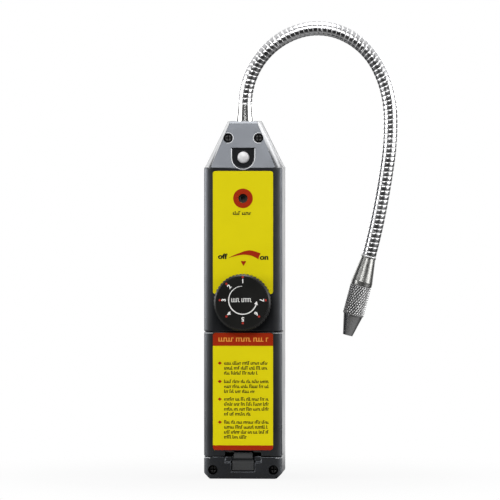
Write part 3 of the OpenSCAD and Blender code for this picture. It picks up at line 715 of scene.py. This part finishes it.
def finished_copy(node, material, edge):
    """A copy of a solid with its sharp edges eased, which stands for the solid."""
    mesh = NODES[node].data.copy()
    shape = bmesh.new()
    shape.from_mesh(mesh)
    bmesh.ops.remove_doubles(shape, verts=shape.verts, dist=SAME_POINT)
    bmesh.ops.dissolve_limit(shape, angle_limit=SAME_PLANE, verts=shape.verts, edges=shape.edges)
    weights = shape.edges.layers.float.new("bevel_weight_edge")
    for line in shape.edges:
        if len(line.link_faces) == 2 and line.calc_face_angle() > EASE_ANGLE:
            line[weights] = ease_of(line)
            line.smooth = line[weights] > 0
        elif all(abs(vert.co.z - SHOULDER_Z) < SHOULDER_SLACK for vert in line.verts):
            line.smooth = False
    shape.to_mesh(mesh)
    shape.free()
    if mesh.has_custom_normals:
        mesh.attributes.remove(mesh.attributes["custom_normal"])
    obj = new_object(node + "_moulding", mesh, material, True)
    bevel = obj.modifiers.new("edge", "BEVEL")
    bevel.width = edge
    bevel.segments = 2
    bevel.limit_method = "WEIGHT"
    bevel.use_clamp_overlap = False
    obj.modifiers.new("normals", "WEIGHTED_NORMAL").keep_sharp = True
    eased = shown_mesh(obj)
    obj.modifiers.clear()
    obj.data = eased
    round_rails(eased)
    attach(obj, BODY_OF[node])
    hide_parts(node)
    return obj


def paint_latch_highlight(mesh):
    """Gives the door's latch, below its lower edge, a rougher finish and a paler colour, a painted
    highlight for the light it catches where it faces up.
    """
    mesh.materials.append(latch_lit_plastic)
    for face in mesh.polygons:
        points = [mesh.vertices[vert].co for vert in face.vertices]
        beside = max(abs(point.x) for point in points)
        above = max(point.z for point in points)
        behind = max(point.y for point in points)
        if beside < LATCH_HALF and above < LATCH_TOP and behind < CASE_FRONT + LATCH_DEEP:
            face.material_index = 1


def build_mouldings():
    finished_copy("front_shell", shell_plastic, FRONT_EASE)
    finished_copy("rear_shell", shell_plastic, REAR_EASE)
    # Painted highlight on the latch
    paint_latch_highlight(finished_copy("battery_door", shell_plastic, FRONT_EASE).data)


# Trim of the mouldings: pale rims and beads, which paint highlights on their edges

def highlight_rim(name, outlines):
    """A thin pale rim on the leaning face of the head, which paints a highlight on the edge it follows."""
    trim = plate(name, outlines, Matrix.Identity(4), TRIM_PROUD, highlight_plastic, "case")
    for vert in trim.data.vertices:
        vert.co.y += CASE_FRONT + HEAD_RAKE * max(0.0, vert.co.z - SHOULDER_Z)
    weld(trim)


def build_head_highlights():
    # Painted highlights round the lamp's pocket and part way round the head's screw wells
    top = LAMP_Z + POCKET_UP
    lines = []
    for radius in (POCKET_R + RIM_GAP, POCKET_R + POCKET_RIM):
        arc = circle_points(radius, 180, 360, RIM_STEPS, (0, LAMP_Z))
        lines.append([(-radius, top)] + arc + [(radius, top)])
    highlight_rim("pocket_highlight_rim", strip_quads(*lines))
    arcs = []
    for x, z in SCREW_PLACES[:2]:
        inwards = 180 if x > 0 else 0
        start = inwards - WELL_RIM_HALF
        end = inwards + WELL_RIM_HALF
        lines = [circle_points(WELL_R + out, start, end, RIM_STEPS, (x, z)) for out in (RIM_GAP, WELL_RIM)]
        arcs += strip_quads(*lines)
    highlight_rim("screw_highlight_rims", arcs)


def rail_line(side, start, proud):
    """Points round one of the front's long edges at one height, from the front to the side."""
    centre = (CASE_HALF - EDGE_W, CASE_FRONT + EDGE_R)
    first = math.degrees(math.asin((start - centre[0]) / EDGE_R))
    last = math.degrees(math.asin(EDGE_W / EDGE_R))
    arc = circle_points(EDGE_R + proud, first - 90, last - 90, RAIL_STEPS, centre)
    points = arc + [(CASE_HALF + proud, arc[-1][1] + RAIL_RETURN)]
    return [(side * x, y) for x, y in points]


def highlight_bead(name, start, heights, body):
    """A pale bead along a joint, on both long edges of the front, which paints a highlight on the joint's
    edge.
    """
    low, high = heights
    points = []
    faces = []
    for side in (-1, 1):
        line = rail_line(side, start, -TRIM_PROUD)
        crest = rail_line(side, start, TRIM_PROUD)
        first = len(points)
        count = len(line)
        for x, y in line:
            points.append((x, y, low))
            points.append((x, y, high))
        for x, y in crest:
            points.append((x, y, (low + high) / 2))
        top = first + 2 * count
        for i in range(count - 1):
            a = first + 2 * i
            faces.append((a, a + 2, top + i + 1, top + i))
            faces.append((a + 1, top + i, top + i + 1, a + 3))
            faces.append((a, a + 1, a + 3, a + 2))
        last = first + 2 * (count - 1)
        faces.append((first, top, first + 1))
        faces.append((last, last + 1, top + count - 1))
    bead = new_object(name, solid_from(name, points, faces), highlight_plastic, True)
    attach(bead, body)


def build_highlight_beads():
    # Painted highlights along the door's and the cap's top edges
    highlight_bead("door_highlight_bead", DOOR_BEAD_START, DOOR_BEAD, "door")
    highlight_bead("cap_highlight_bead", CAP_BEAD_START, CAP_BEAD, "case")


# Gooseneck

def link_lines():
    """Start point, heading and bend of each link, in the plane of the gooseneck."""
    lines = []
    point = Vector((NECK_START.x, NECK_START.z))
    heading = math.pi / 2
    for bend in NECK_BENDS:
        lines.append((point.copy(), heading, math.radians(bend)))
        radius = LINK_LEN / math.radians(bend)
        chord = 2 * radius * math.sin(math.radians(bend) / 2)
        aim = heading - math.radians(bend) / 2
        point += chord * Vector((math.cos(aim), math.sin(aim)))
        heading -= math.radians(bend)
    lines.append((point.copy(), heading, 0.0))
    return lines


LINKS = link_lines()


def neck_frame(along):
    """Place and heading at a distance along the gooseneck; the nose carries on straight."""
    link = min(max(int(along / LINK_LEN), 0), len(NECK_BENDS))
    point, heading, bend = LINKS[link]
    rest = along - link * LINK_LEN
    if bend and 0 <= rest:
        turn = bend * rest / LINK_LEN
        chord = 2 * LINK_LEN / bend * math.sin(turn / 2)
        aim = heading - turn / 2
    else:
        turn = 0.0
        chord = rest
        aim = heading
    place = point + chord * Vector((math.cos(aim), math.sin(aim)))
    return Vector((place.x, NECK_START.y, place.y)), heading - turn


def swept(name, outer, inner, sides, material):
    """A closed tube round the gooseneck's line, from rows of (along, radius by angle)."""
    points = []
    for along, radius in outer + inner:
        centre, heading = neck_frame(along)
        across = Vector((-math.sin(heading), 0, math.cos(heading)))
        for side in range(sides):
            angle = 2 * math.pi * side / sides
            out = across * math.cos(angle) + Vector((0, -1, 0)) * math.sin(angle)
            points.append(centre + out * radius(angle))
    ring_count = len(outer) + len(inner)
    order = list(range(len(outer))) + list(range(ring_count - 1, len(outer) - 1, -1))
    faces = []
    for row in range(ring_count):
        low = order[row] * sides
        high = order[(row + 1) % ring_count] * sides
        for side in range(sides):
            other = (side + 1) % sides
            faces.append((low + side, low + other, high + other, high + side))
    return new_object(name, solid_from(name, points, faces), material, True)


def rib_off(along, angle):
    """How far a place is from the middle of its turn of the helix, as a share of the pitch."""
    phase = along / RIB_PITCH - angle / (2 * math.pi)
    return abs(phase - math.floor(phase) - 0.5)


def rib_radius(along):
    """Radius of the ribbed tube by angle: a helix of crowned turns with V-shaped grooves."""
    def radius(angle):
        off = rib_off(along, angle)
        groove = max(0.0, (off - RIB_FLAT) / (0.5 - RIB_FLAT))
        crown = RIB_CROWN * (min(off, RIB_FLAT) / RIB_FLAT) ** 2
        return NECK_R - crown - (RIB_DEPTH - RIB_CROWN) * groove
    return radius


def plain_radius(value):
    return lambda angle: value


def neck_run(name, start, end):
    """A length of ribbed tube, bright on its turns and satin in its grooves."""
    rows = round((end - start) / RIB_PITCH * RIB_ROWS)
    alongs = [start + (end - start) * row / rows for row in range(rows + 1)]
    outer = [(along, rib_radius(along)) for along in alongs]
    inner = [(along, plain_radius(NECK_BORE_R)) for along in alongs[::RIB_ROWS // 2]]
    run = swept(name, outer, inner, NECK_SIDES, chrome)
    run.data.materials.append(satin_steel)
    for face in run.data.polygons[:rows * NECK_SIDES]:
        row, side = divmod(face.index, NECK_SIDES)
        angle = 2 * math.pi * (side + 0.5) / NECK_SIDES
        if rib_off((alongs[row] + alongs[row + 1]) / 2, angle) > RIB_FLAT:
            face.material_index = 1
    return run


def build_neck():
    """Ribbed runs from the middle of one link to the middle of the next, each spanning one joint."""
    last = len(NECK_BENDS)
    first_run = neck_run("neck_run_start", 0, LINK_LEN / 2)
    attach(first_run, NECK_BODIES[0])
    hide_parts("neck_link_1")
    for joint in range(1, last):
        start = (joint - 0.5) * LINK_LEN
        end = (joint + 0.5) * LINK_LEN
        run = neck_run("neck_run_%d" % joint, start, end)
        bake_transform(run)
        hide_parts("neck_link_%d" % (joint + 1))
    end_run = neck_run("neck_run_end", (last - 0.5) * LINK_LEN, last * LINK_LEN)
    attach(end_run, NECK_BODIES[-1])


# Probe nose

def build_collar_bead():
    """A pale satin bead round the collar where the cone starts."""
    outer = []
    for row in range(BEAD_ROWS + 1):
        share = row / BEAD_ROWS
        along = NECK_LEN + BEAD_START + (BEAD_END - BEAD_START) * share
        outer.append((along, plain_radius(COLLAR_R + BEAD_PROUD * math.sin(math.pi * share))))
    inner = [(NECK_LEN + along, plain_radius(COLLAR_R - BEAD_PROUD)) for along in (BEAD_START, BEAD_END)]
    bead = swept("collar_bead", outer, inner, NECK_SIDES, satin_steel)
    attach(bead, "nose")


def knurl_radius(along):
    """Radius of the grip by angle: two crossing helices of V-shaped grooves leave diamonds."""
    step = 2 * math.pi * GRIP_R / KNURL_STARTS
    fade = min(1.0, (along - GRIP_START) / GRIP_CHAMFER, (GRIP_END - along) / GRIP_CHAMFER)

    def radius(angle):
        round_way = angle * GRIP_R
        lean = along * KNURL_SLOPE
        deep = 0.0
        for way, depth in zip((round_way + lean, round_way - lean), KNURL_DEPTHS):
            share = way / step
            off = abs(share - math.floor(share) - 0.5) * 2
            deep = max(deep, depth * max(0.0, off - KNURL_FLAT) / (1 - KNURL_FLAT))
        return GRIP_R - GRIP_CHAMFER * (1 - fade) - deep * fade
    return radius


def shade_sleeve(mesh):
    """Painted shade in the knurl's grooves, and a turned tip."""
    mesh.materials.append(knurl_groove_shade)
    mesh.materials.append(tip_steel)
    base, heading = neck_frame(NECK_LEN)
    ahead = Vector((math.cos(heading), 0, math.sin(heading)))
    for face in mesh.polygons:
        off = face.center - base
        along = off.dot(ahead)
        in_knurl = GRIP_START + GRIP_CHAMFER < along < GRIP_END - GRIP_CHAMFER
        if along > GRIP_END:
            face.material_index = 2
        elif in_knurl and (off - along * ahead).length < KNURL_SHADE_BELOW:
            face.material_index = 1


def build_nose():
    outer = []
    for row in range(GRIP_ROWS + 1):
        along = GRIP_START + (GRIP_END - GRIP_START) * row / GRIP_ROWS
        outer.append((NECK_LEN + along, knurl_radius(along)))
    for row in range(TIP_ROWS + 1):
        share = row / TIP_ROWS
        along = GRIP_END + (TIP_END - GRIP_END) * share + NOSE_STEP * (1 - share)
        outer.append((NECK_LEN + along, plain_radius(TIP_ROOT_R + (TIP_R - TIP_ROOT_R) * share)))
    inner_profile = [
        (GRIP_START, THREAD_R), (THREAD_END, THREAD_R), (THREAD_END + NOSE_STEP, CHAMBER_R),
        (CHAMBER_END, CHAMBER_R), (TIP_END - TIP_LIP, INLET_R), (TIP_END, INLET_R)
    ]
    inner = [(NECK_LEN + along, plain_radius(radius)) for along, radius in inner_profile]
    sleeve = swept("knurled_sleeve", outer, inner, KNURL_SIDES, knurled_steel)
    sleeve.data.set_sharp_from_angle(angle=NOSE_SHARP)
    shade_sleeve(sleeve.data)
    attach(sleeve, "nose")
    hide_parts("nose_sleeve")


# Printing

def stroke_rows(name, rows, stroke, gap, seed, place, material, body, heights=EVEN_HEIGHTS):
    """Rows of plain strokes in groups, which stand for lines of small print without saying anything.

    Each row is (left, right, foot, height), and heights are the shares of it that a stroke may have.
    """
    draw = random.Random(seed)
    thick = stroke * BAR_SHARE
    outlines = []
    for left, right, foot, height in rows:
        at = left
        while at < right - stroke:
            for _ in range(draw.randint(*WORD_STROKES)):
                if at > right - stroke:
                    break
                tall = height * draw.choice(heights)
                outlines.append(box_outline(at, at + stroke, foot, foot + tall))
                low = draw.random() < BAR_LOW_SHARE
                bar = foot if low else foot + tall - thick
                outlines.append(box_outline(at + stroke, at + stroke + gap, bar, bar + thick))
                at += stroke + gap
            at += WORD_GAP * gap
    plate(name, outlines, place, INK, material, body)


def photo_x(pixel):
    return (pixel - PIXEL_MIDDLE) * PIXEL


def photo_z(pixel):
    return (PIXEL_FOOT - pixel) * PIXEL


def photo_outline(pixels):
    return [(photo_x(x), photo_z(y)) for x, y in pixels]


def build_control_print():
    face = Matrix.Translation((0, LABEL_LOW.y, 0))
    ring = [circle_points(radius, 0, 360, SOUNDER_RING_STEPS) for radius in SOUNDER_RING]
    ring_place = Matrix.Translation((0, LABEL_LOW.y, SOUNDER_Z))
    weld(plate("sounder_ring", strip_quads(*ring), ring_place, INK, red_ink, "case"))
    caption = [(-5 * MM, 5 * MM, photo_z(215), 1.9 * MM)]
    stroke_rows("sounder_caption", caption, stroke=0.42 * MM, gap=0.5 * MM, seed=4, place=face,
                material=black_ink, body="case", heights=PRINT_HEIGHTS)
    sweep = photo_outline(curve_through(SWEEP_TOP) + SWEEP_TAIL + curve_through(SWEEP_LOW))
    plate("sensitivity_sweep", [sweep], face, INK, red_ink, "case")
    plate("pointer_mark", [photo_outline(POINTER)], face, INK, red_ink, "case")
    for name, text, x, y in MARKS:
        place = Matrix.Translation((photo_x(x), LABEL_LOW.y, photo_z(y)))
        lettering(name, text, MARK_HEIGHT, MARK_SQUEEZE, MARK_WEIGHT, place, black_ink, "case")


def band_outline(z0, z1, round_top, round_foot):
    """A band across the door label, with the label's round corners where it reaches them."""
    half = (DOOR_LABEL_HIGH.x - DOOR_LABEL_LOW.x) / 2
    outline = []
    for side, up, start in ((1, 1, 0), (-1, 1, 90), (-1, -1, 180), (1, -1, 270)):
        x = side * half
        z, rounded = (z1, round_top) if up > 0 else (z0, round_foot)
        if rounded:
            centre = (x - side * LABEL_CORNER, z - up * LABEL_CORNER)
            outline += circle_points(LABEL_CORNER, start, start + 90, CORNER_STEPS, centre)
        else:
            outline.append((x, z))
    return outline


def build_door_print():
    face = Matrix.Translation((0, DOOR_LABEL_LOW.y, 0))
    head = band_outline(photo_z(HEADER_FOOT), DOOR_LABEL_HIGH.z, True, False)
    foot = band_outline(DOOR_LABEL_LOW.z, photo_z(FOOTER_TOP), False, True)
    plate("header_bands", [head, foot], face, INK, red_ink, "door")
    on_band = Matrix.Translation((0, DOOR_LABEL_LOW.y - INK, 0))
    caption = [(-12.2 * MM, 12.4 * MM, photo_z(341.2), 2.0 * MM)]
    stroke_rows("header_caption", caption, stroke=0.5 * MM, gap=0.75 * MM, seed=11, place=on_band,
                material=header_ink, body="door")
    rows = []
    bullets = []
    for middle, lines, end in LINE_GROUPS:
        for line in range(lines):
            stop = end if line == lines - 1 else LINE_RIGHT
            line_foot = photo_z(middle + line * LINE_GAP + LINE_DROP)
            rows.append((photo_x(LINE_LEFT), photo_x(stop), line_foot, LINE_HEIGHT))
        x = photo_x(BULLET_X)
        z = photo_z(middle)
        bullets.append([(x - BULLET_HALF, z), (x, z - BULLET_UP), (x + BULLET_HALF, z), (x, z + BULLET_UP)])
    stroke_rows("instruction_lines", rows, stroke=LINE_STROKE, gap=LINE_STROKE, seed=23, place=face,
                material=black_ink, body="door", heights=PRINT_HEIGHTS)
    plate("instruction_bullets", bullets, face, INK, red_ink, "door")


def build_dial_print():
    """Numbers, dots and a turning arrow on the knob's face, read from outside."""
    centre = Matrix.Translation((DIAL_RIGHT, DIAL_LOW.y, KNOB_Z + DIAL_UP))
    dots = []
    for i in range(DIAL_NUMBERS):
        dots.append(circle_points(DOT_R, 0, 360, DOT_SIDES, polar(DOT_AT, 90 + DIAL_STEP * i))[:-1])
        turn = Matrix.Rotation(math.radians(-DIAL_STEP * i), 4, "Y")
        place = centre @ turn @ Matrix.Translation((0, 0, NUMBER_R))
        lettering("dial_number_%d" % (i + 1), str(i + 1), NUMBER_HEIGHT, NUMBER_SQUEEZE, NUMBER_WEIGHT,
                  place, white_ink, "knob")
    plate("dial_dots", dots, centre, INK, dot_ink, "knob")
    inside = []
    outside = []
    for i in range(ARROW_STEPS + 1):
        width = ARROW_HALF * min(1.0, ARROW_THIN + ARROW_GROWTH * i / ARROW_STEPS)
        angle = ARROW_FROM + (ARROW_TO - ARROW_FROM) * i / ARROW_STEPS
        inside.append(polar(ARROW_R - width, angle))
        outside.append(polar(ARROW_R + width, angle))
    weld(plate("turn_arrow", strip_quads(inside, outside), centre, INK, white_ink, "knob"))
    arrow_head = [polar(*corner) for corner in (*ARROW_WINGS, ARROW_TIP)]
    plate("turn_arrow_head", [arrow_head], centre, INK, white_ink, "knob")
    caption = [(-5.7 * MM, 5.5 * MM, -0.95 * MM, 1.9 * MM)]
    stroke_rows("dial_caption", caption, stroke=0.3 * MM, gap=0.55 * MM, seed=7, place=centre,
                material=white_ink, body="knob")


# Stage

# How bright the room looks in gloss, from straight in front (0) to straight behind (1)
ROOM_LEVELS = [(0.0, 0.04), (0.04, 0.06), (0.13, 0.3), (0.27, 0.85), (0.5, 1.0), (0.62, 0.2), (0.85, 0.2),
               (0.92, 1.0)]
# The same from straight below (0) to straight above (1)
HEIGHT_LEVELS = [(0.0, 0.2), (0.4, 0.2), (0.48, 1.0), (1.0, 1.0)]
# Behind and high up there are no dark flags: shares of white by depth and by height
OPEN_DEPTHS = [(0.0, 0.0), (0.5, 0.0), (0.58, 1.0), (1.0, 1.0)]
OPEN_HEIGHTS = [(0.0, 0.0), (0.6, 0.0), (0.72, 1.0), (1.0, 1.0)]
WORLD_FILL = 0.15
WHITE = (1, 1, 1, 1)

# The floor: half its side, its share of white to the eye and in gloss by distance, and where it fades
FLOOR_HALF = 0.24
FLOOR_LOW = -0.05 * MM
FLOOR_GREY = (0.3, 0.3, 0.3, 1)
FLOOR_SEEN = ((0.03, 0.2), (0.9, 1.0))
FLOOR_GLOSS = ((0.06, 0.22), (0.02, 0.3))
FLOOR_GONE = ((0.1, 0.22), (0, 1))

# What the lamps are turned to, and each lamp's name, place, aim, width, height and radiance
AIM_MIDDLE = (0, 0, 0.12)
AIM_HEAD = (0, 0, 0.165)
AIM_NECK = (0, 0, 0.2)
LAMPS = [
    ("key_lamp", (-0.04, -1.06, 0.66), AIM_HEAD, 0.62, 0.34, 10.8),
    ("top_lamp", (0, 0.0, 0.95), AIM_MIDDLE, 0.42, 0.26, 15.0),
    ("left_lamp", (-0.851, -0.181, 0.25), AIM_NECK, 0.44, 0.42, 9.5),
    ("left_soft_lamp", (-0.76, -0.46, 0.27), AIM_NECK, 0.28, 0.36, 4.0),
    ("right_lamp", (0.851, -0.181, 0.25), AIM_NECK, 0.44, 0.42, 7.0),
    ("right_soft_lamp", (0.77, -0.445, 0.27), AIM_NECK, 0.28, 0.36, 3.2),
    ("left_rim_lamp", (-0.344, 0.551, 0.315), AIM_HEAD, 0.36, 0.32, 2.4),
    ("back_lamp", (0.1, 1.1, 0.15), AIM_MIDDLE, 0.5, 0.5, 0.5),
    ("right_rim_lamp", (0.382, 0.526, 0.376), AIM_HEAD, 0.36, 0.32, 4.9)
]


def build_camera():
    flat = math.cos(CAMERA_RISE)
    away = Vector((math.sin(CAMERA_TURN) * flat, -math.cos(CAMERA_TURN) * flat, math.sin(CAMERA_RISE)))
    data = bpy.data.cameras.new("camera")
    data.sensor_width = SENSOR
    data.lens = SENSOR * CAMERA_AWAY / (PICTURE * CAMERA_PIXEL)
    camera = link_object("camera", data)
    camera.location = PICTURE_CENTRE + CAMERA_AWAY * away
    camera.rotation_euler = (-away).to_track_quat("-Z", "Y").to_euler()
    bpy.context.scene.camera = camera


def seen_white(tree):
    """One for rays by way of gloss, and one for those and for rays from the eye or through glass."""
    path = add_node(tree, "LightPath").outputs
    glossy = path["Is Glossy Ray"]
    seen = maths(tree, "MAXIMUM", path["Is Camera Ray"], glossy)
    return glossy, maths(tree, "MAXIMUM", seen, path["Is Transmission Ray"])


def levels_by(tree, part, levels):
    """Grey levels by one part of a direction, which runs from -1 to 1."""
    ramp = add_node(tree, "ValToRGB")
    stops = ramp.color_ramp.elements
    stops[0].position = levels[0][0]
    stops[1].position = levels[-1][0]
    for position, _ in levels[1:-1]:
        stops.new(position)
    for stop, (_, level) in zip(stops, levels):
        stop.color = (level, level, level, 1)
    return set_inputs(ramp, Fac=ranged(tree, part, (-1, 1), (0, 1))).outputs["Color"]


def build_world():
    """White to the eye; a dark room in front and dark flags beside the backdrop show in gloss."""
    world = bpy.data.worlds.new("studio")
    world.use_nodes = True
    bpy.context.scene.world = world
    tree = world.node_tree
    tree.nodes.clear()
    glossy, white = seen_white(tree)
    parts = place_parts(tree, "Generated")
    room, unflagged = (
        vectors(tree, "MULTIPLY", levels_by(tree, parts["Y"], depths), levels_by(tree, parts["Z"], heights))
        for depths, heights in ((ROOM_LEVELS, HEIGHT_LEVELS), (OPEN_DEPTHS, OPEN_HEIGHTS)))
    around = vectors(tree, "MAXIMUM", room, unflagged)
    seen = set_inputs(add_node(tree, "Background"), Color=mixed(tree, "RGBA", glossy, WHITE, around))
    fill = set_inputs(add_node(tree, "Background"), Color=WHITE, Strength=WORLD_FILL)
    look = mixed_shaders(tree, white, fill.outputs[0], seen.outputs[0])
    set_inputs(add_node(tree, "OutputWorld"), Surface=look)


def build_floor():
    """A pale floor that keeps a soft shadow near the object and runs out to white."""
    corners = [(x, y, FLOOR_LOW) for x, y in box_outline(-FLOOR_HALF, FLOOR_HALF, -FLOOR_HALF, FLOOR_HALF)]
    mesh = mesh_from("floor", corners, [(0, 1, 2, 3)])
    material = bpy.data.materials.new("floor")
    material.use_nodes = True
    tree = material.node_tree
    tree.nodes.clear()
    glossy, white = seen_white(tree)
    place = add_node(tree, "NewGeometry").outputs["Position"]
    away = vectors(tree, "LENGTH", place, result="Value")
    level = mixed(tree, "FLOAT", glossy, ranged(tree, away, *FLOOR_SEEN), ranged(tree, away, *FLOOR_GLOSS))
    share = maths(tree, "MULTIPLY", white, level)
    paper = set_inputs(add_node(tree, "BsdfDiffuse"), Color=FLOOR_GREY)
    glow = set_inputs(add_node(tree, "Emission"), Color=WHITE, Strength=1.0)
    clear = add_node(tree, "BsdfTransparent")
    look = mixed_shaders(tree, share, paper.outputs[0], glow.outputs[0])
    faded = mixed_shaders(tree, ranged(tree, away, *FLOOR_GONE), look, clear.outputs[0])
    set_inputs(add_node(tree, "OutputMaterial"), Surface=faded)
    floor = new_object("floor", mesh, material)


def build_lights():
    """Rectangular lamps of even brightness, each turned to a point."""
    for name, place, aim, width, height, radiance in LAMPS:
        data = bpy.data.lights.new(name, "AREA")
        data.shape = "RECTANGLE"
        data.size = width
        data.size_y = height
        data.energy = radiance * math.pi * width * height
        lamp = link_object(name, data)
        lamp.location = place
        lamp.rotation_euler = (Vector(aim) - Vector(place)).to_track_quat("-Z", "Y").to_euler()
        lamp.visible_camera = False


def dress_solids():
    """A material for every solid that is shown as it is."""
    wrap = cell_wrap()
    looks = {
        "control_label": yellow_film, "instruction_label": yellow_film, "case_screws": screws_painted_shade(),
        "sensitivity_knob": knob_plastic, "dial_disc": dial_print, "control_shaft": bright_steel,
        "control_body": control_brown, "indicator_lamp": lamp_lens, "sounder": sounder_black,
        "circuit_board": board_green, "board_screws": bright_steel, "transformer_core": ferrite,
        "transformer_coil": copper_wire, "capacitors": can_sleeve, "logic_chips": chip_black,
        "positive_contact": contact_nickel_shaded, "negative_contact": contact_nickel_shaded,
        "series_contact": contact_nickel_shaded, "spring_left": bright_steel, "spring_right": bright_steel,
        "cell_left": wrap, "cell_right": wrap, "neck_ferrule": ferrule_chrome, "nose_adapter": turned_steel,
        "sensor_insulator": ceramic, "sensor_electrode": bright_steel
    }
    for node, material in looks.items():
        paint(NODES[node], material)


bpy.context.scene.view_settings.view_transform = "Standard"
build_camera()
build_world()
build_floor()
build_lights()
dress_solids()
build_mouldings()
build_head_highlights()
build_highlight_beads()
build_neck()
build_collar_bead()
build_nose()
build_control_print()
build_door_print()
build_dial_print()
